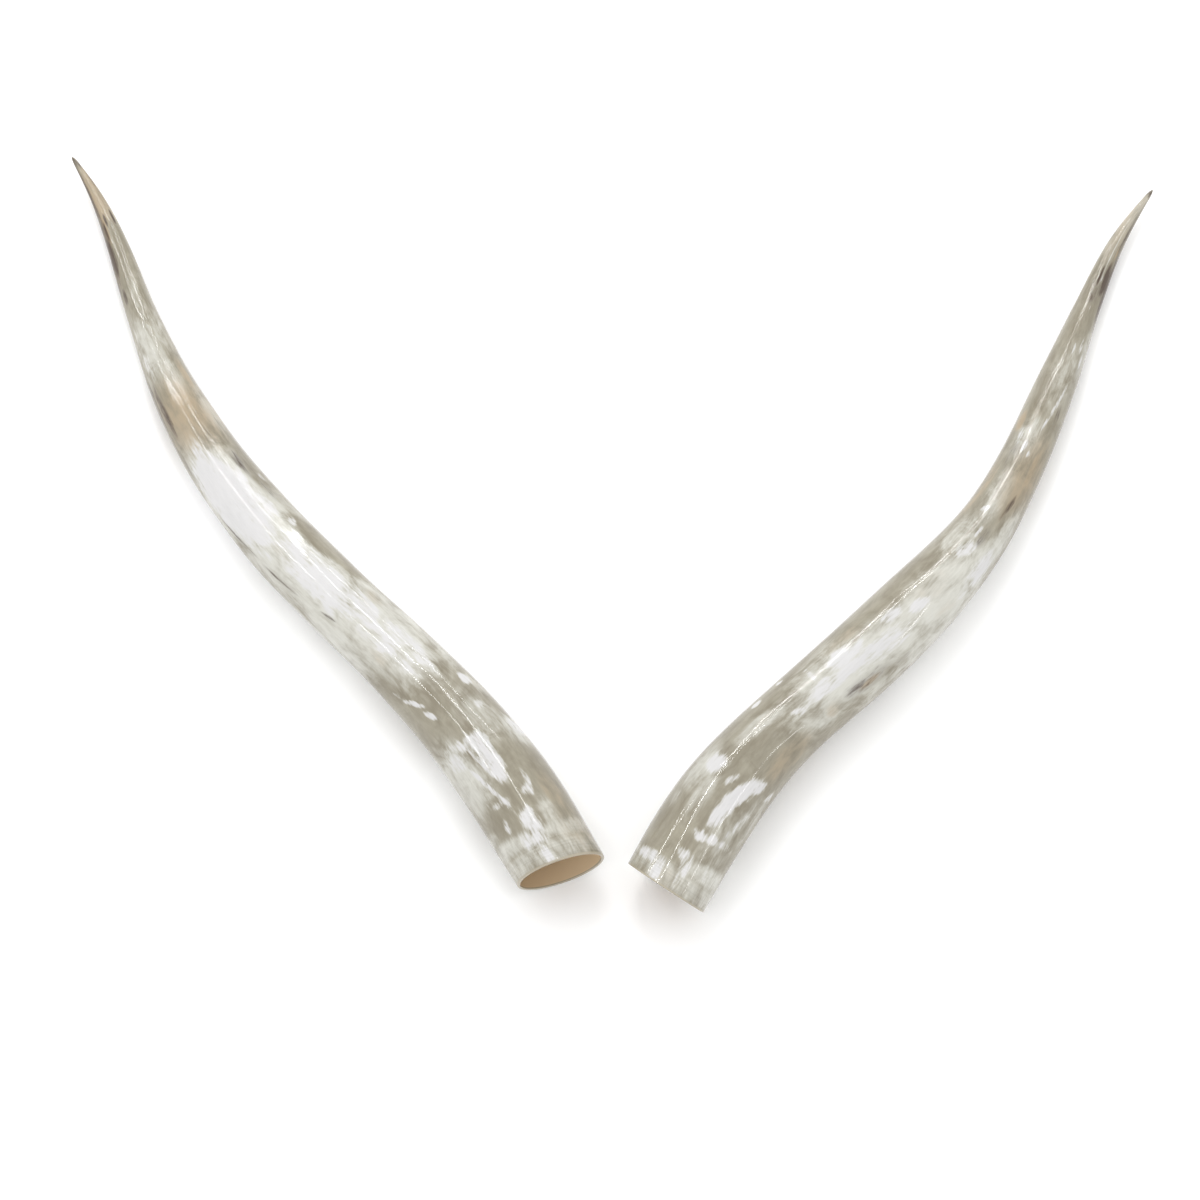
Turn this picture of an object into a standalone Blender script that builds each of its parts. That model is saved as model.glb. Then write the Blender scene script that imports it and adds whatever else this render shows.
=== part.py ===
"""A pair of polished cow horns, lying with their sawn mouths together and their tips apart.

Each horn is one piece: a tapering, slightly oval sheath that bends gently one way and then the
other, hollow from the sawn mouth for more than half its length and solid to the point.
Units are metres and +Z is up. The origin is the middle of the pair's footprint, on the surface
that the horns lie on. Left and right are as seen from the side of the mouths.
"""

from typing import NamedTuple

import bmesh
import bpy
import numpy as np


class Horn(NamedTuple):
    """The dimensions that differ between the two horns."""

    name: str
    stations: tuple      # x, y and half width at each station, from the mouth to the tip
    mouth_faces: tuple   # direction that the sawn face looks in
    color: tuple


# Driving dimensions of both horns
HEIGHT_OVER_WIDTH = 0.96     # the section is a little lower than it is wide
WALL_AT_MOUTH = 0.003
WALL_THICKENS = 4.0          # the higher, the nearer to its end the hollow keeps its width
HOLLOW_SHARE = 0.66          # of the horn's length, from the mouth
TIP_ROUNDING = 0.010         # the point is rounded over this length
TIP_LIFT = 0.014             # the tip hangs this high over the surface
LIFT_STARTS = 0.75           # share of the length where the horn leaves the surface
SLANT_FADES = 0.16           # share of the length over which the mouth's slant dies out
FOOTPRINT_MIDDLE = (0.0117, 0.0750)

# Fineness of the mesh
SIDES = 24
OUTER_RINGS = 44
INNER_RINGS = 20
TIP_RINGS = 3
TIP_CROWDING = 1.5           # above 1, the rings over the point draw together towards its end
DIRECTION_REACH = 0.004      # the direction at a place is read this far before and after it
SHARP_ABOVE = np.radians(40.0)

LEFT = Horn(
    name="horn_left",
    stations=(
        (-0.0371, -0.2965, 0.0430),
        (-0.0907, -0.2068, 0.0440),
        (-0.1532, -0.1242, 0.0398),
        (-0.2246, -0.0476, 0.0364),
        (-0.2983, 0.0276, 0.0353),
        (-0.3637, 0.1082, 0.0314),
        (-0.4193, 0.1983, 0.0252),
        (-0.4573, 0.2838, 0.0176),
        (-0.4878, 0.3667, 0.0123),
        (-0.5183, 0.4399, 0.0068),
        (-0.5470, 0.4890, 0.0018),
    ),
    mouth_faces=(0.32, -0.945, -0.03),
    color=(0.56, 0.51, 0.44, 1.0),
)
RIGHT = Horn(
    name="horn_right",
    stations=(
        (0.0624, -0.3126, 0.0428),
        (0.1150, -0.2240, 0.0429),
        (0.1804, -0.1464, 0.0381),
        (0.2539, -0.0778, 0.0383),
        (0.3198, -0.0109, 0.0364),
        (0.3799, 0.0637, 0.0290),
        (0.4271, 0.1499, 0.0237),
        (0.4643, 0.2365, 0.0197),
        (0.4987, 0.3204, 0.0129),
        (0.5330, 0.3940, 0.0077),
        (0.5705, 0.4505, 0.0018),
    ),
    mouth_faces=(-0.547, -0.79, -0.28),
    color=(0.54, 0.50, 0.43, 1.0),
)


def smooth_step(share):
    """0 up to a share of 0, 1 from a share of 1, and an even S-shaped rise between."""
    share = np.clip(share, 0.0, 1.0)
    return share * share * (3.0 - 2.0 * share)


def natural_spline(knots, values, places):
    """The smoothest cubic through values at knots, with free ends, read at places."""
    gaps = np.diff(knots)
    slopes = np.diff(values, axis=0) / gaps[:, None]
    system = np.eye(len(knots))
    turns = np.zeros_like(values)
    for row in range(1, len(knots) - 1):
        system[row, row - 1:row + 2] = gaps[row - 1], 2.0 * (gaps[row - 1] + gaps[row]), gaps[row]
        turns[row] = 6.0 * (slopes[row] - slopes[row - 1])
    bends = np.linalg.solve(system, turns)
    span = np.clip(np.searchsorted(knots, places, side="right") - 1, 0, len(gaps) - 1)
    gap = gaps[span][:, None]
    before = (knots[span + 1] - places)[:, None] / gap
    after = 1.0 - before
    curve = (before ** 3 - before) * bends[span] + (after ** 3 - after) * bends[span + 1]
    return before * values[span] + after * values[span + 1] + curve * gap ** 2 / 6.0


class Centreline:
    """A horn's middle line, with its half width, direction and ring plane at any length."""

    SAMPLES = 2000

    def __init__(self, horn):
        stations = np.array(horn.stations)
        stations[:, :2] -= FOOTPRINT_MIDDLE
        steps = np.linalg.norm(np.diff(stations[:, :2], axis=0), axis=1)
        knots = np.concatenate(([0.0], np.cumsum(steps)))
        places = np.linspace(0.0, knots[-1], self.SAMPLES)
        flat = natural_spline(knots, stations, places)
        steps = np.linalg.norm(np.diff(flat[:, :2], axis=0), axis=1)
        self.run = np.concatenate(([0.0], np.cumsum(steps)))
        self.length = self.run[-1]
        to_tip = np.clip((self.length - self.run) / TIP_ROUNDING, 0.0, 1.0)
        self.half_width = flat[:, 2] * np.sqrt(1.0 - (1.0 - to_tip) ** 2)
        rise = np.clip((self.run / self.length - LIFT_STARTS) / (1.0 - LIFT_STARTS), 0.0, 1.0)
        height = HEIGHT_OVER_WIDTH * self.half_width + TIP_LIFT * rise ** 2
        self.points = np.column_stack((flat[:, :2], height))
        self.mouth_faces = np.array(horn.mouth_faces) / np.linalg.norm(horn.mouth_faces)

    def point(self, run):
        """The middle of the horn at a distance from the mouth."""
        return np.array([np.interp(run, self.run, self.points[:, axis]) for axis in range(3)])

    def width(self, run):
        """The horn's half width at a distance from the mouth."""
        return float(np.interp(run, self.run, self.half_width))

    def direction(self, run):
        """Unit vector towards the tip."""
        ahead = self.point(min(run + DIRECTION_REACH, self.length))
        behind = self.point(max(run - DIRECTION_REACH, 0.0))
        return (ahead - behind) / np.linalg.norm(ahead - behind)

    def ring(self, run, half_width):
        """An oval ring of points. Near the mouth it slants with the sawn face."""
        middle = self.point(run)
        along = self.direction(run)
        across = np.cross(along, (0.0, 0.0, 1.0))
        across /= np.linalg.norm(across)
        upward = np.cross(across, along)
        angle = np.arange(SIDES)[:, None] * 2.0 * np.pi / SIDES
        points = half_width * (np.cos(angle) * across + HEIGHT_OVER_WIDTH * np.sin(angle) * upward)
        straight = smooth_step(run / (SLANT_FADES * self.length))
        plane = (1.0 - straight) * self.mouth_faces - straight * along
        slide = -(points @ plane) / (along @ plane)
        return middle + points + slide[:, None] * along


def outer_rings(line):
    """Rings of the outside, from the mouth to just short of the tip."""
    body = np.linspace(0.0, line.length - TIP_ROUNDING, OUTER_RINGS)
    share = np.arange(1, TIP_RINGS + 1) / (TIP_RINGS + 1)
    nose = line.length - TIP_ROUNDING * (1.0 - share) ** TIP_CROWDING
    return [line.ring(run, line.width(run)) for run in np.concatenate((body, nose))]


def inner_rings(line):
    """Rings of the hollow, from its rounded end to the mouth."""
    depth = HOLLOW_SHARE * line.length
    rings = []
    for step in range(1, INNER_RINGS + 1):
        run = depth * np.cos(0.5 * np.pi * step / INNER_RINGS)
        closing = np.sqrt(1.0 - (run / depth) ** WALL_THICKENS)
        rings.append(line.ring(run, (line.width(run) - WALL_AT_MOUTH) * closing))
    return rings


def build_horn(horn):
    """One closed solid: the hollow, the flat sawn rim, the outside and the point."""
    line = Centreline(horn)
    rings = np.array(inner_rings(line) + outer_rings(line))
    onto_surface = np.array((0.0, 0.0, rings[:, :, 2].min()))
    mesh = bmesh.new()
    loops = [[mesh.verts.new(point) for point in ring] for ring in rings - onto_surface]
    hollow_end = mesh.verts.new(line.point(HOLLOW_SHARE * line.length) - onto_surface)
    tip = mesh.verts.new(line.point(line.length) - onto_surface)
    for side in range(SIDES):
        turn = (side + 1) % SIDES
        mesh.faces.new((hollow_end, loops[0][turn], loops[0][side]))
        for first, second in zip(loops[:-1], loops[1:]):
            mesh.faces.new((first[side], first[turn], second[turn], second[side]))
        mesh.faces.new((tip, loops[-1][side], loops[-1][turn]))
    bmesh.ops.triangulate(mesh, faces=mesh.faces[:])
    bmesh.ops.recalc_face_normals(mesh, faces=mesh.faces[:])
    data = bpy.data.meshes.new(horn.name)
    mesh.to_mesh(data)
    mesh.free()
    data.shade_smooth()
    data.set_sharp_from_angle(angle=SHARP_ABOVE)
    return data


def polished_horn(horn):
    """Glossy horn of the piece's average colour."""
    material = bpy.data.materials.new(horn.name)
    material.use_nodes = True
    shader = material.node_tree.nodes["Principled BSDF"]
    shader.inputs["Base Color"].default_value = horn.color
    shader.inputs["Roughness"].default_value = 0.22
    shader.inputs["Metallic"].default_value = 0.0
    return material


def main():
    """Clears the scene and adds the two horns."""
    for item in list(bpy.data.objects):
        bpy.data.objects.remove(item, do_unlink=True)
    for horn in (LEFT, RIGHT):
        data = build_horn(horn)
        data.materials.append(polished_horn(horn))
        bpy.context.collection.objects.link(bpy.data.objects.new(horn.name, data))


main()
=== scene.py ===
"""A pair of polished cow horns lying on a pale floor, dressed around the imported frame.

Each horn is one fine closed surface: outside, rounded sawn lip and hollow. Its markings are
patches placed by share of the length and by angle round the horn, whose edges the finish
frays along the fibres. Units are metres and degrees.
"""

import logging
from dataclasses import dataclass, field, replace
from enum import Enum

import bpy
import numpy as np
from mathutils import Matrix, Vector

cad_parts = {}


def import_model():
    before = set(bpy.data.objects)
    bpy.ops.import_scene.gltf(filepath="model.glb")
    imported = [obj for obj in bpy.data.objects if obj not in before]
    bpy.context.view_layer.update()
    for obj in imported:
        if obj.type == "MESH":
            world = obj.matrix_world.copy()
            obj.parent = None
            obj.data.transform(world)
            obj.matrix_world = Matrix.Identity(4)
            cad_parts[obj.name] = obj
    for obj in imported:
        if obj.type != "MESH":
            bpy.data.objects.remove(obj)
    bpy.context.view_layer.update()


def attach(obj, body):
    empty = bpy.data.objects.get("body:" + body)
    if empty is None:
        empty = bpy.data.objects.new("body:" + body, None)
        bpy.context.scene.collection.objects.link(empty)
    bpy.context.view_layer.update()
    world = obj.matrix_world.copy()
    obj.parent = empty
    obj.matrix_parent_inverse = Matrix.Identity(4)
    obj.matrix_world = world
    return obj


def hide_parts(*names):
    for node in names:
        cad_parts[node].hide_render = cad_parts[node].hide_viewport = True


log = logging.getLogger("cow_horns")

FRAY_REACH = 3.0  # a mark's edge frays to the full from a third of the mark upwards


class Mark(Enum):
    """The kinds of marking, by their channel in the marks attribute. A few milk and haze patches
    are painted highlights rather than marks.
    """

    MILK = 0
    AMBER = 1
    SMOKE = 2
    HAZE = 3


class Part(Enum):
    """The parts of a horn's closed surface, in the order of their rings."""

    HOLLOW = 0
    LIP = 1
    OUTSIDE = 2


@dataclass(frozen=True)
class Patch:
    """A marking: its middle, half its reach and its strength, on the straightened horn."""

    mark: Mark
    share: float
    angle: float
    long: float
    wide: float
    strength: float = 1.0
    turn: float = 0.0

    def amount(self, share: np.ndarray, angle: np.ndarray) -> np.ndarray:
        """How much of the patch lies at each place.

        The formula is the strength times a soft step, down from 1 well inside an ellipse to 0
        well outside it. Its middle line turns by so many degrees over the half reach.

        Args:
            share: Share of the horn's length from the mouth.
            angle: Degrees round the horn, 90 on top.

        Returns:
            The amount at each place.
        """
        along = (share - self.share) / self.long
        round_it = angle - self.angle - self.turn * np.clip(along, -1.5, 1.5)
        round_it = (round_it + 180.0) % 360.0 - 180.0
        out = np.sqrt(along ** 2 + (round_it / self.wide) ** 2)
        return self.strength * (1.0 - smooth_step((out - 0.35) / 1.2))


def smooth_step(share: np.ndarray) -> np.ndarray:
    """0 up to a share of 0, 1 from a share of 1, and an even S-shaped rise between."""
    share = np.clip(share, 0.0, 1.0)
    return share * share * (3.0 - 2.0 * share)


def tone(red: float, green: float, blue: float) -> tuple[float, float, float, float]:
    """The linear colour of a display colour whose parts run from 0 to 255."""
    parts = [((part / 255.0 + 0.055) / 1.055) ** 2.4 for part in (red, green, blue)]
    return (parts[0], parts[1], parts[2], 1.0)


@dataclass(frozen=True)
class Grain:
    """Noise on the straightened horn: its waves to the metre, its detail and its warp."""

    across: float
    along: float
    detail: float = 3.0
    warp: float = 0.0


class Wire:
    """A shader socket that adds Math nodes when it is used in arithmetic."""

    def __init__(self, graph: "Graph", socket: bpy.types.NodeSocket) -> None:
        """Wraps one output socket of a graph."""
        self.graph = graph
        self.socket = socket

    def math(self, operation: str, *others: "Wire | float") -> "Wire":
        """This value and others through one Math node."""
        sockets = dict(enumerate((self,) + others))
        return self.graph.add("ShaderNodeMath", {"operation": operation}, sockets)

    def flipped(self, operation: str, other: float) -> "Wire":
        """A number and this value, in that order, through one Math node."""
        return self.graph.add("ShaderNodeMath", {"operation": operation}, {0: other, 1: self})

    def __add__(self, other: "Wire | float") -> "Wire":
        """Sum."""
        return self.math("ADD", other)

    __radd__ = __add__

    def __sub__(self, other: "Wire | float") -> "Wire":
        """Difference."""
        return self.math("SUBTRACT", other)

    def __rsub__(self, other: float) -> "Wire":
        """A number less this value."""
        return self.flipped("SUBTRACT", other)

    def __mul__(self, other: "Wire | float") -> "Wire":
        """Product."""
        return self.math("MULTIPLY", other)

    __rmul__ = __mul__

    def step(self, low: float, high: float) -> "Wire":
        """A smooth step from 0 at low to 1 at high."""
        settings = {"interpolation_type": "SMOOTHSTEP"}
        return self.graph.add("ShaderNodeMapRange", settings, {0: self, 1: low, 2: high})


class Graph:
    """The nodes of one material."""

    def __init__(self, material: bpy.types.Material) -> None:
        """Empties the material's node tree."""
        material.use_nodes = True
        self.tree = material.node_tree
        self.tree.nodes.clear()

    def add(
        self, kind: str, settings: dict[str, object], sockets: dict, out: int | str = 0
    ) -> Wire:
        """Adds a node.

        Args:
            kind: The node's type.
            settings: Its own properties, set first.
            sockets: Values or wires of its inputs, by name or number.
            out: The output to go on with.

        Returns:
            The chosen output as a wire.
        """
        node = self.tree.nodes.new(kind)
        for name, value in settings.items():
            setattr(node, name, value)
        for name, value in sockets.items():
            if isinstance(value, Wire):
                self.tree.links.new(value.socket, node.inputs[name])
            else:
                node.inputs[name].default_value = value
        return Wire(self, node.outputs[out] if node.outputs else None)

    def attribute(self, name: str, out: str) -> Wire:
        """A mesh attribute, by its name and the output to read."""
        return self.add("ShaderNodeAttribute", {"attribute_name": name}, {}, out=out)

    def split(self, kind: str, whole: Wire) -> tuple[Wire, ...]:
        """The parts of a colour or a vector, through the kind of node that splits it."""
        parts = self.add(kind, {}, {0: whole}).socket.node.outputs
        return tuple(Wire(self, part) for part in parts)

    def waves(self, place: Wire, grain: Grain) -> Wire:
        """Noise of a grain on the straightened horn.

        Args:
            place: Places on the straightened horn.
            grain: The noise's scale and character.

        Returns:
            Values from -0.5 to 0.5 about 0.
        """
        stretch = {0: place, 1: (grain.across, grain.across, grain.along)}
        sockets = {
            "Vector": self.add("ShaderNodeVectorMath", {"operation": "MULTIPLY"}, stretch),
            "Scale": 1.0,
            "Detail": grain.detail,
            "Roughness": 0.6,
            "Distortion": grain.warp,
        }
        return self.add("ShaderNodeTexNoise", {}, sockets) - 0.5

    def mix(
        self, amount: Wire | float, first: object, second: object, blend: str = "MIX"
    ) -> Wire:
        """Two colours mixed by an amount."""
        settings = {"data_type": "RGBA", "blend_type": blend}
        return self.add("ShaderNodeMix", settings, {0: amount, 6: first, 7: second}, out=2)


@dataclass(frozen=True)
class Layer:
    """One kind of marking as it lies on the horn.

    fray holds the weights of the fibre, tuft and cloud noise at its edge, edge the amounts at
    which it begins and is full, cover how much it hides, and gain how far it spreads.
    """

    colour: tuple
    fray: tuple
    edge: tuple
    cover: float = 1.0
    gain: float = 1.0

    def amount(self, mark: Wire, grains: tuple[Wire, ...]) -> Wire:
        """The mark with its edge frayed by the grains, which leave places without it alone."""
        fray = sum(grain * weight for grain, weight in zip(grains, self.fray))
        return mark * self.gain + fray * (mark * FRAY_REACH).math("MINIMUM", 1.0)

    def over(self, graph: Graph, below: Wire, mark: Wire, grains: tuple[Wire, ...]) -> Wire:
        """The colour below with this layer on it."""
        shown = self.amount(mark, grains).step(*self.edge) * self.cover
        return graph.mix(shown, below, self.colour)


@dataclass(frozen=True)
class HornFinish:
    """Polished horn: a taupe body with milky clouds, tan and smoky streaks, under a gloss."""

    body_dark: tuple = tone(122, 115, 98)
    body_light: tuple = tone(149, 144, 128)
    haze: Layer = Layer(tone(191, 190, 182), (0.4, 0.8, 1.5), (-0.05, 1.15))
    amber: Layer = Layer(tone(157, 139, 112), (0.0, 0.7, 0.9), (0.1, 1.0), 0.9)
    halo: Layer = Layer(tone(191, 190, 182), (1.1, 1.4, 1.4), (0.12, 0.6), 0.45, 1.1)
    smoke: Layer = Layer(tone(62, 46, 34), (0.77, 0.98, 0.98), (0.15, 0.9), 0.92)
    milk: Layer = Layer(tone(197, 196, 196), (1.1, 1.4, 1.4), (0.32, 0.86), 0.96, 1.1)
    # the hollow's own tan, brightened as a painted glow of light shining through the thin wall
    lining_and_painted_glow: tuple = tone(203, 180, 148)
    lip: tuple = tone(160, 152, 134)
    fibre: Grain = Grain(520.0, 75.0, 2.0)
    tuft: Grain = Grain(170.0, 42.0)
    cloud: Grain = Grain(52.0, 30.0, 4.0, 0.8)
    drift: Grain = Grain(22.0, 9.0, 2.0)
    growth: Grain = Grain(24.0, 620.0, 1.0)
    ridges: Grain = Grain(260.0, 2.2, 0.0)
    tuft_in_body: float = 0.6
    body_edge: tuple = (0.2, 0.85)
    fibre_shade: float = 0.16
    drift_shade: float = 0.2
    growth_shade: float = 0.5
    roughness: float = 0.075
    milk_roughness: float = 0.02
    milk_roughness_edge: tuple = (0.36, 0.66)
    tuft_roughness: float = 0.04
    lining_roughness: float = 0.3
    ior: float = 1.54
    ridge_height: float = 0.00005

    def material(self, name: str) -> bpy.types.Material:
        """Builds the finish.

        The colour starts from the body's cloudy taupe. Haze, amber, smoke and milk are laid over
        it where the marks attribute, frayed by fibre noise, passes a threshold.

        Args:
            name: The material's name.

        Returns:
            The material.
        """
        material = bpy.data.materials.new(name)
        graph = Graph(material)
        place = graph.attribute("straight", "Vector")
        marks = graph.attribute("marks", "Color")
        haze = Wire(graph, marks.socket.node.outputs["Alpha"])
        milk, amber, smoke = graph.split("ShaderNodeSeparateColor", marks)
        inside, lip, rim = graph.split("ShaderNodeSeparateXYZ", graph.attribute("parts", "Vector"))
        grains = tuple(graph.waves(place, grain) for grain in (self.fibre, self.tuft, self.cloud))
        fibre, tuft, cloud = grains

        body = (cloud + tuft * self.tuft_in_body + 0.5).step(*self.body_edge)
        colour = graph.mix(body, self.body_dark, self.body_light)
        colour = self.haze.over(graph, colour, haze, grains)
        colour = self.amber.over(graph, colour, amber, grains)
        colour = self.halo.over(graph, colour, milk, grains)
        colour = self.smoke.over(graph, colour, smoke, grains)
        colour = self.milk.over(graph, colour, milk, grains)
        shade = fibre * self.fibre_shade + graph.waves(place, self.drift) * self.drift_shade
        shade = shade + graph.waves(place, self.growth) * rim * self.growth_shade + 1.0
        grey = graph.add("ShaderNodeCombineColor", {}, {0: shade, 1: shade, 2: shade})
        colour = graph.mix(1.0, colour, grey, "MULTIPLY")
        # hollow colour: its own tan plus a painted glow of light coming through the wall
        colour = graph.mix(inside, colour, self.lining_and_painted_glow)
        colour = graph.mix(lip, colour, self.lip)

        milky = self.milk.amount(milk, grains).step(*self.milk_roughness_edge)
        rough = milky * self.milk_roughness + tuft * self.tuft_roughness + self.roughness
        rough = rough + inside * self.lining_roughness
        relief = {"Height": graph.waves(place, self.ridges), "Distance": self.ridge_height}
        sockets = {
            "Base Color": colour,
            "Roughness": rough,
            "IOR": self.ior,
            "Normal": graph.add("ShaderNodeBump", {}, relief),
        }
        shader = graph.add("ShaderNodeBsdfPrincipled", {}, sockets)
        graph.add("ShaderNodeOutputMaterial", {}, {0: shader})
        return material


@dataclass(frozen=True)
class FloorFinish:
    """Matt white paper."""

    colour: tuple = (0.96, 0.96, 0.96, 1.0)
    roughness: float = 0.9
    sheen: float = 0.1

    def material(self, name: str) -> bpy.types.Material:
        """Builds the finish.

        Args:
            name: The material's name.

        Returns:
            The material.
        """
        material = bpy.data.materials.new(name)
        graph = Graph(material)
        sockets = {
            "Base Color": self.colour,
            "Roughness": self.roughness,
            "Specular IOR Level": self.sheen,
        }
        shader = graph.add("ShaderNodeBsdfPrincipled", {}, sockets)
        graph.add("ShaderNodeOutputMaterial", {}, {0: shader})
        return material


@dataclass(frozen=True)
class Rings:
    """The rings of a closed surface: distance from the mouth, half width and part of each."""

    run: np.ndarray
    radius: np.ndarray
    part: np.ndarray

    def among(self, part: Part) -> np.ndarray:
        """Whether each ring is of a part, as a column."""
        return (self.part == part.value)[:, None]


@dataclass
class Horn:
    """One horn: its middle line, its sections and its markings.

    Stations hold x, y and half width, from the mouth to the tip, and shares are of the length
    from the mouth. straight_girth and straight_width set the radius of the straightened horn,
    and growth_fades how far from the rim the growth rings show. Patches whose width lies within
    repeated_below come again on the underside, at below_from less their angle.
    """

    name: str
    node: str
    stations: tuple
    mouth_faces: tuple
    patches: tuple
    height_over_width: float = 0.96
    wall_at_mouth: float = 0.003
    wall_thickens: float = 4.0
    hollow_share: float = 0.66
    tip_rounding: float = 0.010
    tip_lift: float = 0.014
    lift_starts: float = 0.75
    slant_fades: float = 0.16
    footprint_middle: tuple = (0.0117, 0.0750)
    direction_reach: float = 0.004
    lip_rounding: float = 0.0009
    sides: int = 160
    outer_rings: int = 400
    tip_rings: int = 10
    inner_rings: int = 70
    lip_rings: int = 5
    hollow_turn: tuple = (0.02, 0.998)
    body_from: float = 0.0025
    tip_crowding: float = 1.6
    samples: int = 4000
    straight_girth: float = 0.04
    straight_width: float = 0.043
    thinnest: float = 0.0005
    growth_fades: float = 0.05
    repeated_below: tuple = (9.0, 100.0)
    below_from: float = 350.0
    below_shift: float = 0.02
    run: np.ndarray = field(init=False)
    half_width: np.ndarray = field(init=False)
    points: np.ndarray = field(init=False)

    def __post_init__(self) -> None:
        """Works out the middle line.

        A natural cubic spline over chord length passes through the stations. The half width
        closes as a quarter circle over the tip, and the height of the middle is the half
        height plus a lift that grows with the square of the way to the tip.
        """
        stations = np.array(self.stations)
        stations[:, :2] -= self.footprint_middle
        steps = np.linalg.norm(np.diff(stations[:, :2], axis=0), axis=1)
        knots = np.concatenate(([0.0], np.cumsum(steps)))
        flat = natural_spline(knots, stations, np.linspace(0.0, knots[-1], self.samples))
        steps = np.linalg.norm(np.diff(flat[:, :2], axis=0), axis=1)
        self.run = np.concatenate(([0.0], np.cumsum(steps)))
        to_tip = np.clip((self.length - self.run) / self.tip_rounding, 0.0, 1.0)
        self.half_width = flat[:, 2] * np.sqrt(1.0 - (1.0 - to_tip) ** 2)
        rise = (self.run / self.length - self.lift_starts) / (1.0 - self.lift_starts)
        lift = self.tip_lift * np.clip(rise, 0.0, 1.0) ** 2
        height = self.height_over_width * self.half_width + lift
        self.points = np.column_stack((flat[:, :2], height))

    @property
    def length(self) -> float:
        """Length along the middle line."""
        return float(self.run[-1])

    def middle(self, run: np.ndarray) -> np.ndarray:
        """Places on the middle line at distances from the mouth."""
        return np.stack([np.interp(run, self.run, axis) for axis in self.points.T], axis=-1)

    def surface(self, run: np.ndarray, angle: np.ndarray, radius: np.ndarray) -> np.ndarray:
        """Points of the horn.

        The formula is an oval about the middle line, radius times cosine of the angle across
        and 0.96 times sine upwards, slid along the line onto a plane. The plane is the sawn
        face's at the mouth and turns square to the line further on.

        Args:
            run: Distances from the mouth.
            angle: Angles round the horn in degrees.
            radius: Half widths.

        Returns:
            The points, with x, y and z last.
        """
        run, angle, radius = np.broadcast_arrays(run, np.radians(angle), radius)
        ahead = self.middle(np.minimum(run + self.direction_reach, self.length))
        along = ahead - self.middle(np.maximum(run - self.direction_reach, 0.0))
        along /= np.linalg.norm(along, axis=-1, keepdims=True)
        across = np.cross(along, (0.0, 0.0, 1.0))
        across /= np.linalg.norm(across, axis=-1, keepdims=True)
        upward = np.cross(across, along)
        sine = self.height_over_width * np.sin(angle)
        oval = radius[..., None] * (np.cos(angle)[..., None] * across + sine[..., None] * upward)
        square = smooth_step(run / (self.slant_fades * self.length))[..., None]
        mouth = np.array(self.mouth_faces) / np.linalg.norm(self.mouth_faces)
        plane = (1.0 - square) * mouth - square * along
        slide = -(oval * plane).sum(axis=-1) / (along * plane).sum(axis=-1)
        return self.middle(run) + oval + slide[..., None] * along

    def width(self, run: np.ndarray) -> np.ndarray:
        """Half widths of the outside at distances from the mouth."""
        return np.interp(run, self.run, self.half_width)

    def rings(self) -> Rings:
        """The rings of the closed surface, from the hollow's end over the lip to the tip.

        The hollow narrows as the root of 1 less the fourth power of the way to its end. The
        lip is a quarter circle on its inside and another on its outside.

        Returns:
            The rings in order.
        """
        depth = self.hollow_share * self.length
        inner = depth * np.cos(0.5 * np.pi * np.linspace(*self.hollow_turn, self.inner_rings))
        closing = np.sqrt(1.0 - (inner / depth) ** self.wall_thickens)
        turn = 0.5 * np.pi * np.linspace(0.0, 1.0, self.lip_rings)
        lip = self.lip_rounding * (1.0 - np.sin(turn))
        crown = self.lip_rounding * (1.0 - np.cos(turn))
        body = np.linspace(self.body_from, self.length - self.tip_rounding, self.outer_rings)
        nose = np.linspace(0.0, 1.0, self.tip_rings + 2)[1:-1]
        nose = self.length - self.tip_rounding * (1.0 - nose) ** self.tip_crowding
        outer = np.concatenate((body, nose))
        radii = (
            (self.width(inner) - self.wall_at_mouth) * closing,
            self.half_width[0] - self.wall_at_mouth + crown,
            self.half_width[0] - crown[::-1],
            self.width(outer),
        )
        run = np.concatenate((inner, lip, lip[::-1], outer))
        part = np.repeat([part.value for part in Part], (len(inner), 2 * len(lip), len(outer)))
        return Rings(run, np.concatenate(radii), part)

    def swell(self, share: np.ndarray, angle: np.ndarray) -> np.ndarray:
        """The hand-worked surface's slow waves, half a millimetre at most.

        The formula is a sum of three sines that wind round the horn two, three and five to the
        turn. The first two come and go along it, and all die out towards the tip.

        Args:
            share: Share of the horn's length from the mouth.
            angle: Degrees round the horn.

        Returns:
            What the waves add to the radius.
        """
        turn = np.radians(angle)
        waves = 0.00026 * np.sin(2.0 * turn + 9.0 * share) * np.sin(21.0 * share + 1.0)
        waves += 0.00018 * np.sin(3.0 * turn - 14.0 * share) * np.cos(43.0 * share)
        waves += 0.00010 * np.sin(5.0 * turn + 57.0 * share + 2.0)
        return waves * np.clip(6.0 * (1.0 - share), 0.0, 1.0)

    def build(self) -> bpy.types.Object:
        """Makes the horn, resting on the floor.

        Returns:
            The piece, with the attributes that its finish reads.
        """
        rings = self.rings()
        angle = np.arange(self.sides)[None] * 360.0 / self.sides
        run = rings.run[:, None]
        outside = rings.among(Part.OUTSIDE)
        swell = np.where(outside, self.swell(run / self.length, angle), 0.0)
        places = self.surface(run, angle, rings.radius[:, None] + swell)
        ends = self.middle(np.array((self.hollow_share * self.length, self.length)))
        vertices = np.vstack((places.reshape(-1, 3), ends))
        vertices[:, 2] -= vertices[:, 2].min()
        mesh = closed_mesh(self.name, vertices, len(rings.run), self.sides)
        self.write_attributes(mesh, rings, angle)
        piece = bpy.data.objects.new(self.name, mesh)
        bpy.context.collection.objects.link(piece)
        return piece

    def unseen_patches(self) -> tuple[Patch, ...]:
        """Patches of the underside.

        Returns:
            The broad patches of the top again, turned under and moved a little along.
        """
        low, high = self.repeated_below
        broad = [patch for patch in self.patches if low <= patch.wide < high]
        turned = [replace(patch, angle=self.below_from - patch.angle) for patch in broad]
        return tuple(replace(patch, share=patch.share + self.below_shift) for patch in turned)

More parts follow.
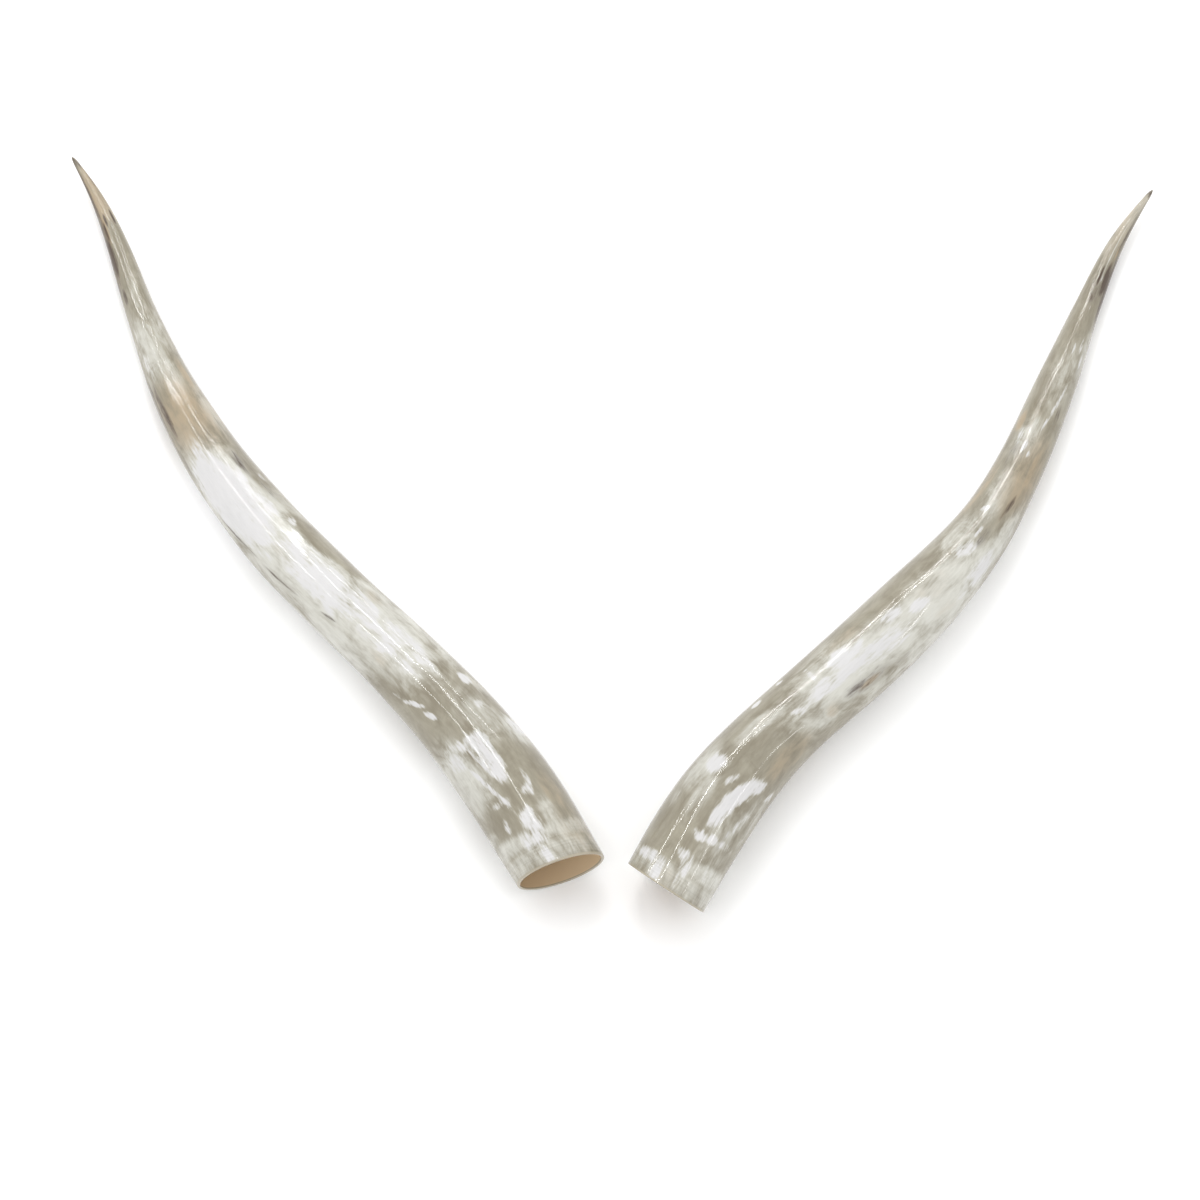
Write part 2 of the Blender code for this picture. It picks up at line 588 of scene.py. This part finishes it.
    def straightened(self, rings: Rings, angle: np.ndarray) -> np.ndarray:
        """Each vertex's place on a straight horn.

        The formula is a circle whose radius goes with the square root of the horn's half
        width, at the ring's distance from the mouth.

        Args:
            rings: The surface's rings.
            angle: Degrees of each side, as a row.

        Returns:
            The places, with x, y and the distance last.
        """
        turn = np.radians(angle)
        radius = np.maximum(rings.radius, self.thinnest)[:, None]
        girth = self.straight_girth * np.sqrt(radius / self.straight_width)
        far = np.repeat(rings.run[:, None], self.sides, axis=1)
        return np.stack((girth * np.cos(turn), girth * np.sin(turn), far), axis=-1)

    def markings(self, rings: Rings, angle: np.ndarray) -> np.ndarray:
        """How much of each kind of marking lies at each vertex.

        The formula is the most that any patch gives. A patch of negative strength takes from
        what the patches before it gave.

        Args:
            rings: The surface's rings.
            angle: Degrees of each side, as a row.

        Returns:
            The amounts from 0 to 1, with the kinds last.
        """
        share = rings.run[:, None] / self.length
        marks = np.zeros((len(rings.run), self.sides, len(Mark)))
        for patch in self.patches + self.unseen_patches():
            channel = marks[..., patch.mark.value]
            amount = patch.amount(share, angle)
            if patch.strength > 0.0:
                np.maximum(channel, amount, out=channel)
            else:
                np.clip(channel + amount, 0.0, 1.0, out=channel)
        return marks

    def parts(self, rings: Rings) -> np.ndarray:
        """Which part each vertex is of.

        Args:
            rings: The surface's rings.

        Returns:
            Hollow, lip and closeness to the rim, each from 0 to 1.
        """
        away = rings.run[:, None] / (self.growth_fades * self.length)
        close = np.clip(1.0 - away, 0.0, 1.0)
        columns = np.stack((rings.among(Part.HOLLOW), rings.among(Part.LIP), close), axis=-1)
        return np.repeat(columns.astype(float), self.sides, axis=1)

    def write_attributes(self, mesh: bpy.types.Mesh, rings: Rings, angle: np.ndarray) -> None:
        """Writes what the finish reads: straight, marks and parts.

        Args:
            mesh: The mesh to write to.
            rings: The surface's rings.
            angle: Degrees of each side, as a row.
        """
        for name, kind, key, values in (
            ("straight", "FLOAT_VECTOR", "vector", self.straightened(rings, angle)),
            ("marks", "FLOAT_COLOR", "color", self.markings(rings, angle)),
            ("parts", "FLOAT_VECTOR", "vector", self.parts(rings)),
        ):
            flat = values.reshape(-1, values.shape[-1])
            whole = np.vstack((flat, flat[0], flat[-1])).astype(np.float32)
            mesh.attributes.new(name, kind, "POINT").data.foreach_set(key, whole.ravel())


def natural_spline(knots: np.ndarray, values: np.ndarray, places: np.ndarray) -> np.ndarray:
    """The smoothest cubic through values at knots, with free ends.

    Args:
        knots: Rising places of the values.
        values: One row for each knot.
        places: Where to read the curve.

    Returns:
        One row for each place.
    """
    gaps = np.diff(knots)
    slopes = np.diff(values, axis=0) / gaps[:, None]
    system = np.eye(len(knots))
    turns = np.zeros_like(values)
    for row in range(1, len(knots) - 1):
        system[row, row - 1:row + 2] = gaps[row - 1], 2.0 * (gaps[row - 1] + gaps[row]), gaps[row]
        turns[row] = 6.0 * (slopes[row] - slopes[row - 1])
    bends = np.linalg.solve(system, turns)
    span = np.clip(np.searchsorted(knots, places, side="right") - 1, 0, len(gaps) - 1)
    gap = gaps[span][:, None]
    before = (knots[span + 1] - places)[:, None] / gap
    after = 1.0 - before
    curve = (before ** 3 - before) * bends[span] + (after ** 3 - after) * bends[span + 1]
    return before * values[span] + after * values[span + 1] + curve * gap ** 2 / 6.0


def closed_mesh(name: str, vertices: np.ndarray, rings: int, sides: int) -> bpy.types.Mesh:
    """A mesh of rings of vertices joined in order, closed by a point at each end.

    Args:
        name: The mesh's name.
        vertices: The rings one after another, then the first and the last point.
        rings: How many rings.
        sides: Vertices in a ring.

    Returns:
        The mesh, shaded smooth, with its faces outwards.
    """
    ring = np.arange(rings - 1)[:, None] * sides
    side = np.arange(sides)[None]
    after = (side + 1) % sides
    following = ring + sides
    quads = np.stack((ring + side, ring + after, following + after, following + side), axis=-1)
    last = (rings - 1) * sides
    start = np.stack((np.full(sides, rings * sides), after[0], side[0]), axis=-1)
    end = np.stack((np.full(sides, rings * sides + 1), last + side[0], last + after[0]), axis=-1)
    mesh = bpy.data.meshes.new(name)
    faces = quads.reshape(-1, 4).tolist() + start.tolist() + end.tolist()
    mesh.from_pydata(vertices.tolist(), [], faces)
    mesh.shade_smooth()
    mesh.update()
    return mesh


@dataclass
class Studio:
    """The floor, the soft lights and the camera."""

    axis_meets_floor: tuple = (-0.0117, -0.0750, 0.0)
    camera_height_angle: float = 68.0
    camera_distance: float = 3.87
    lens: float = 117.0
    floor_size: float = 12.0
    floor_drop: float = 0.0003
    sky: float = 1.2
    key_from: tuple = (-0.05, 0.62, 0.77)
    key_strength: float = 0.3
    key_angle: float = 20.0
    tube_height: float = 2.4
    tube_width: float = 0.022
    tube_brightness: float = 40.0
    tubes: tuple = (
        ((-0.60, 1.15), (0.80, 3.25)),
        ((-0.30, 0.10), (-0.70, 3.10)),
        ((-1.40, 0.00), (-2.30, 2.70)),
        ((2.90, -1.10), (2.60, -0.20)),
        ((-0.90, 2.28), (0.95, 2.24)),
        ((-2.60, 1.60), (-1.30, 2.05)),
        ((0.45, 2.50), (-0.85, 3.30)),
    )

    def floor(self) -> bpy.types.Object:
        """Makes the floor.

        Returns:
            The floor.
        """
        half = 0.5 * self.floor_size
        low = -self.floor_drop
        edge = [(-half, -half, low), (half, -half, low), (half, half, low), (-half, half, low)]
        mesh = bpy.data.meshes.new("floor")
        mesh.from_pydata(edge, [], [(0, 1, 2, 3)])
        floor = bpy.data.objects.new("floor", mesh)
        bpy.context.collection.objects.link(floor)
        mesh.materials.append(FloorFinish().material("floor_paper"))
        return floor

    def camera(self) -> bpy.types.Object:
        """Makes the camera.

        Returns:
            The camera, set as the scene's.
        """
        height = np.radians(self.camera_height_angle)
        towards = Vector((0.0, float(np.cos(height)), -float(np.sin(height))))
        camera = bpy.data.objects.new("camera", bpy.data.cameras.new("camera"))
        camera.data.lens = self.lens
        camera.data.sensor_width = 36.0
        camera.location = Vector(self.axis_meets_floor) - self.camera_distance * towards
        camera.rotation_euler = towards.to_track_quat("-Z", "Y").to_euler()
        bpy.context.collection.objects.link(camera)
        bpy.context.scene.camera = camera
        return camera

    def lights(self) -> None:
        """Makes an even sky, a soft key from the far side and the thin tubes overhead."""
        world = bpy.data.worlds.new("sky")
        world.use_nodes = True
        world.node_tree.nodes["Background"].inputs["Color"].default_value = (1.0, 1.0, 1.0, 1.0)
        world.node_tree.nodes["Background"].inputs["Strength"].default_value = self.sky
        bpy.context.scene.world = world
        key = bpy.data.lights.new("key", "SUN")
        key.energy = self.key_strength
        key.angle = np.radians(self.key_angle)
        holder = bpy.data.objects.new("key", key)
        holder.rotation_euler = Vector(self.key_from).to_track_quat("Z", "Y").to_euler()
        holder.visible_glossy = False
        bpy.context.collection.objects.link(holder)
        for number, (start, end) in enumerate(self.tubes, 1):
            reach = np.subtract(end, start)
            light = bpy.data.lights.new(f"tube_{number}", "AREA")
            light.shape = "RECTANGLE"
            light.size = float(np.hypot(*reach))
            light.size_y = self.tube_width
            light.energy = self.tube_brightness * float(np.pi) * light.size * light.size_y
            lamp = bpy.data.objects.new(f"tube_{number}", light)
            lamp.location = (*(0.5 * np.add(start, end)), self.tube_height)
            lamp.rotation_euler = (0.0, 0.0, float(np.arctan2(reach[1], reach[0])))
            bpy.context.collection.objects.link(lamp)


def patches(mark: Mark, *rows: tuple) -> tuple[Patch, ...]:
    """Patches of one mark, from rows of a patch's values in their order."""
    return tuple(Patch(mark, *row) for row in rows)


LEFT_PATCHES = (
    patches(
        Mark.HAZE,
        (0.012, 100, 0.014, 90, 0.55),
        (0.033, 145, 0.010, 46, 0.75),
        (0.034, 60, 0.011, 45, 0.65),
        (0.050, 72, 0.020, 12, 0.5),
        (0.128, 150, 0.045, 36, 0.85),
        (0.145, 35, 0.020, 24, 0.7),
        (0.175, 72, 0.035, 26, 0.5),
        (0.205, 36, 0.020, 9, 0.6),
        (0.310, 88, 0.075, 54, 1.0),
        (0.310, 42, 0.070, 20, 0.85),
        (0.345, 155, 0.060, 28, 0.9),
        (0.440, 105, 0.130, 66, 1.0),
        (0.540, 120, 0.075, 62, 1.0),
        (0.425, 45, 0.055, 20, -0.8, 10),
        (0.275, 47, 0.030, 12, -0.3),
        (0.635, 45, 0.035, 18, 0.7),
        (0.690, 80, 0.030, 20, 0.65),
        (0.735, 115, 0.050, 42, 0.65),
        (0.775, 70, 0.060, 50, 0.35),
        (0.950, 80, 0.045, 40, 0.3),
    )
    + patches(
        Mark.MILK,
        (0.010, 103, 0.012, 8, 0.6),
        (0.030, 112, 0.012, 14, 0.55),
        (0.045, 98, 0.022, 12, 0.7),
        (0.055, 130, 0.010, 5, 0.55),
        (0.080, 120, 0.005, 16, 0.45),
        (0.076, 112, 0.007, 4, 0.6),
        (0.081, 82, 0.008, 8, 0.55),
        (0.092, 74, 0.012, 4, 0.4),
        (0.150, 138, 0.018, 22, 0.5),
        (0.104, 121, 0.034, 3, 0.75, 9),
        (0.130, 111, 0.032, 3, 0.75, 7),
        (0.132, 98, 0.034, 12, 0.9),
        (0.150, 99, 0.013, 15, 0.85),
        (0.147, 28, 0.014, 18, 0.75),
        (0.183, 60, 0.008, 8, 0.5),
        (0.216, 47, 0.009, 9, 0.85),
        (0.204, 124, 0.009, 4.5, 0.85, 4),
        (0.229, 133, 0.014, 4.5, 0.85, 10),
        (0.247, 143, 0.014, 4, 0.55, 8),
        (0.300, 100, 0.055, 20, 0.6),
        (0.285, 74, 0.055, 13, 0.6),
        (0.355, 88, 0.040, 26, 0.7),
        (0.405, 98, 0.062, 34, 0.8),
        (0.445, 82, 0.035, 16, 0.6),
        (0.468, 60, 0.007, 8, 0.7),
        (0.500, 88, 0.032, 24, 0.6),
        (0.525, 114, 0.070, 40, 1.0),
        (0.548, 138, 0.048, 26, 0.95),
        (0.535, 42, 0.012, 6, 0.4),
        (0.715, 130, 0.022, 14, 0.5, 6),
        (0.881, 112, 0.005, 6, 0.4),
    )
    + patches(
        Mark.AMBER,
        (0.030, 45, 0.040, 30, 0.35),
        (0.075, 48, 0.030, 18, 0.4),
        (0.149, 97, 0.006, 4, 0.55),
        (0.205, 36, 0.020, 8, 0.3),
        (0.290, 120, 0.018, 12, 0.4),
        (0.345, 55, 0.014, 14, 0.4),
        (0.452, 108, 0.013, 14, 0.4),
        (0.640, 95, 0.060, 80, 0.6),
        (0.635, 88, 0.025, 14, 0.6),
        (0.690, 48, 0.032, 14, 0.55),
        (0.862, 150, 0.045, 34, 0.5),
        (0.898, 128, 0.026, 18, 0.9),
        (0.945, 90, 0.045, 95, 0.7),
    )
    + patches(
        Mark.SMOKE,
        (0.365, 133, 0.011, 2.5, 0.65, 3),
        (0.430, 148, 0.026, 2.6, 0.8, 4),
        (0.500, 158, 0.036, 3, 0.65, 7),
        (0.540, 52, 0.050, 14, 0.4, 8),
        (0.560, 65, 0.020, 6, 0.55, 4),
        (0.600, 165, 0.030, 8, 0.5),
        (0.660, 143, 0.038, 10, 0.65),
        (0.665, 168, 0.055, 18, 0.5),
        (0.720, 95, 0.090, 50, 0.16),
        (0.810, 138, 0.012, 12, 0.75),
        (0.864, 140, 0.030, 20, 1.0),
        (0.850, 95, 0.040, 40, 0.22),
        (0.885, 158, 0.085, 34, 0.7),
        (0.890, 130, 0.022, 11, 0.7),
        (0.907, 107, 0.009, 9, 0.8),
        (0.909, 50, 0.011, 10, 0.85),
        (0.952, 147, 0.012, 14, 0.6),
        (0.955, 38, 0.040, 20, 0.4),
        (0.962, 160, 0.045, 34, 0.75),
        (0.994, 90, 0.014, 300, 0.6),
    )
)

RIGHT_PATCHES = (
    patches(
        Mark.HAZE,
        (0.012, 60, 0.014, 90, 0.6),
        (0.033, 40, 0.012, 34, 0.85),
        (0.083, 138, 0.011, 8, 0.5),
        (0.122, 130, 0.026, 22, 0.65),
        (0.095, 38, 0.032, 9, 0.6, -6),
        (0.115, 18, 0.040, 8, 0.5),
        (0.200, 105, 0.045, 12, 0.7, -4),
        (0.245, 60, 0.030, 34, 0.6),
        (0.060, 50, 0.050, 22, 0.4),
        (0.100, 105, 0.030, 12, 0.5),
        (0.395, 18, 0.110, 26, 0.75),
        (0.330, 82, 0.105, 54, 1.0),
        (0.385, 120, 0.080, 26, -0.7),
        (0.440, 55, 0.065, 50, 1.0),
        (0.500, 108, 0.035, 26, 0.65),
        (0.530, 34, 0.045, 20, 0.8),
        # painted highlight: pale haze laid where the lamps' reflection brightens the top
        (0.565, 98, 0.050, 22, 0.55),
        (0.640, 100, 0.032, 36, 0.5),
        (0.730, 76, 0.050, 50, 0.3, -10),
        (0.770, 25, 0.040, 20, 0.5),
        (0.915, 78, 0.050, 5, 0.9),
        (0.930, 100, 0.050, 60, 0.4),
        (0.965, 95, 0.040, 70, 0.6),
    )
    + patches(
        Mark.MILK,
        # painted highlight: a white dab over the bright reflection near the mouth
        (0.010, 106, 0.014, 8, 0.7),
        (0.021, 126, 0.007, 30, 0.65),
        (0.033, 42, 0.010, 24, 0.4),
        (0.030, 75, 0.014, 9, 0.5),
        (0.012, 76, 0.014, 6, 0.4),
        (0.040, 84, 0.006, 9, 0.65),
        (0.063, 78, 0.006, 10, 0.65),
        (0.065, 60, 0.006, 12, 0.6),
        (0.067, 40, 0.005, 16, 0.45),
        (0.090, 72, 0.017, 9, 0.8),
        (0.112, 64, 0.030, 12, 0.95, -10),
        (0.133, 52, 0.013, 10, 0.85, -8),
        (0.124, 84, 0.008, 5, 0.6, -3),
        (0.131, 114, 0.012, 15, 0.9),
        (0.092, 40, 0.021, 6, 0.6, -8),
        (0.139, 19, 0.010, 7, 0.5, -4),
        (0.208, 142, 0.007, 6, 0.7),
        (0.243, 146, 0.005, 5, 0.55),
        (0.206, 68, 0.004, 3, 0.45),
        (0.230, 80, 0.009, 8, 0.55, -4),
        (0.268, 112, 0.004, 18, 0.5),
        (0.270, 84, 0.030, 12, 0.6),
        (0.305, 98, 0.028, 16, 0.75),
        (0.310, 77, 0.070, 9, 0.85),
        (0.350, 66, 0.045, 13, 0.6),
        (0.375, 94, 0.015, 11, 0.85),
        (0.405, 76, 0.015, 9, 0.85, -4),
        (0.478, 38, 0.034, 16, 0.7),
        (0.486, 84, 0.014, 14, 0.75, -4),
        (0.514, 86, 0.008, 4, 0.7),
        (0.543, 105, 0.005, 7, 0.7, -5),
        (0.484, 114, 0.005, 4, 0.45),
        (0.626, 80, 0.006, 4, 0.6),
        (0.633, 98, 0.010, 7, 0.65),
        (0.645, 118, 0.012, 8, 0.5),
        (0.668, 74, 0.010, 4, 0.5, -3),
        (0.700, 62, 0.028, 5, 0.55, -9),
        (0.770, 78, 0.008, 4, 0.5),
        (0.777, 54, 0.013, 5, 0.5),
        (0.763, 36, 0.012, 6, 0.45),
        (0.826, 76, 0.005, 3, 0.45),
        (0.868, 74, 0.006, 3.5, 0.5),
    )
    + patches(
        Mark.AMBER,
        (0.010, 85, 0.012, 20, 0.3),
        (0.200, 107, 0.030, 6, 0.3),
        (0.185, 42, 0.045, 20, 0.45),
        (0.262, 47, 0.012, 12, 0.4),
        (0.320, 118, 0.030, 14, 0.35),
        (0.312, 42, 0.015, 5, 0.8),
        (0.430, 80, 0.030, 20, 0.3),
        (0.425, 40, 0.020, 14, 0.25),
        (0.560, 66, 0.022, 6, 0.55),
        (0.570, 145, 0.050, 18, 0.5),
        (0.600, 60, 0.060, 50, 0.55),
        (0.612, 55, 0.030, 11, 0.75),
        (0.665, 138, 0.015, 14, 0.7),
        (0.890, 55, 0.010, 8, 0.6),
        (0.905, 48, 0.012, 9, 0.85),
        (0.945, 95, 0.070, 70, 0.45),
    )
    + patches(
        Mark.SMOKE,
        (0.090, 45, 0.050, 4, 0.35, -8),
        (0.312, 45, 0.034, 13, 0.5, -4),
        (0.350, 32, 0.020, 6, 0.35),
        (0.510, 72, 0.018, 10, 0.35),
        (0.558, 64, 0.018, 6, 0.55, -3),
        (0.620, 118, 0.030, 14, 0.3),
        (0.680, 50, 0.022, 8, 0.4),
        (0.700, 118, 0.022, 5, 0.4, -4),
        (0.852, 50, 0.007, 9, 0.55),
        (0.850, 98, 0.012, 5, 0.45),
        (0.853, 76, 0.006, 4, 0.45),
        (0.855, 60, 0.035, 60, 0.4),
        (0.870, 50, 0.027, 20, 1.0),
        (0.871, 87, 0.015, 8, 1.0),
        (0.862, 22, 0.055, 22, 0.85),
        (0.925, 34, 0.055, 20, 0.6),
        (0.750, 30, 0.060, 24, 0.25),
        (0.997, 90, 0.010, 300, 0.6),
    )
)

LEFT = Horn(
    name="left_horn",
    node="horn_left",
    stations=(
        (-0.0371, -0.2965, 0.0430),
        (-0.0907, -0.2068, 0.0440),
        (-0.1532, -0.1242, 0.0398),
        (-0.2246, -0.0476, 0.0364),
        (-0.2983, 0.0276, 0.0353),
        (-0.3637, 0.1082, 0.0314),
        (-0.4193, 0.1983, 0.0252),
        (-0.4573, 0.2838, 0.0176),
        (-0.4878, 0.3667, 0.0123),
        (-0.5183, 0.4399, 0.0068),
        (-0.5470, 0.4890, 0.0018),
    ),
    mouth_faces=(0.32, -0.945, -0.03),
    patches=LEFT_PATCHES,
)

RIGHT = Horn(
    name="right_horn",
    node="horn_right",
    stations=(
        (0.0624, -0.3126, 0.0428),
        (0.1150, -0.2240, 0.0429),
        (0.1804, -0.1464, 0.0381),
        (0.2539, -0.0778, 0.0383),
        (0.3198, -0.0109, 0.0364),
        (0.3799, 0.0637, 0.0290),
        (0.4271, 0.1499, 0.0237),
        (0.4643, 0.2365, 0.0197),
        (0.4987, 0.3204, 0.0129),
        (0.5330, 0.3940, 0.0077),
        (0.5705, 0.4505, 0.0018),
    ),
    mouth_faces=(-0.547, -0.79, -0.28),
    patches=RIGHT_PATCHES,
)


def main() -> None:
    """Builds the studio and the two horns, and logs how many vertices each horn has."""
    logging.basicConfig(level=logging.INFO, format="%(name)s: %(message)s")
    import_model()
    bpy.context.scene.view_settings.view_transform = "Standard"
    studio = Studio()
    studio.camera()
    studio.floor()
    studio.lights()
    finish = HornFinish().material("polished_horn")
    for horn in (LEFT, RIGHT):
        piece = horn.build()
        piece.data.materials.append(finish)
        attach(piece, "root")
        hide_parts(horn.node)
        log.info("%s: %d vertices", piece.name, len(piece.data.vertices))


if __name__ == "__main__":
    main()
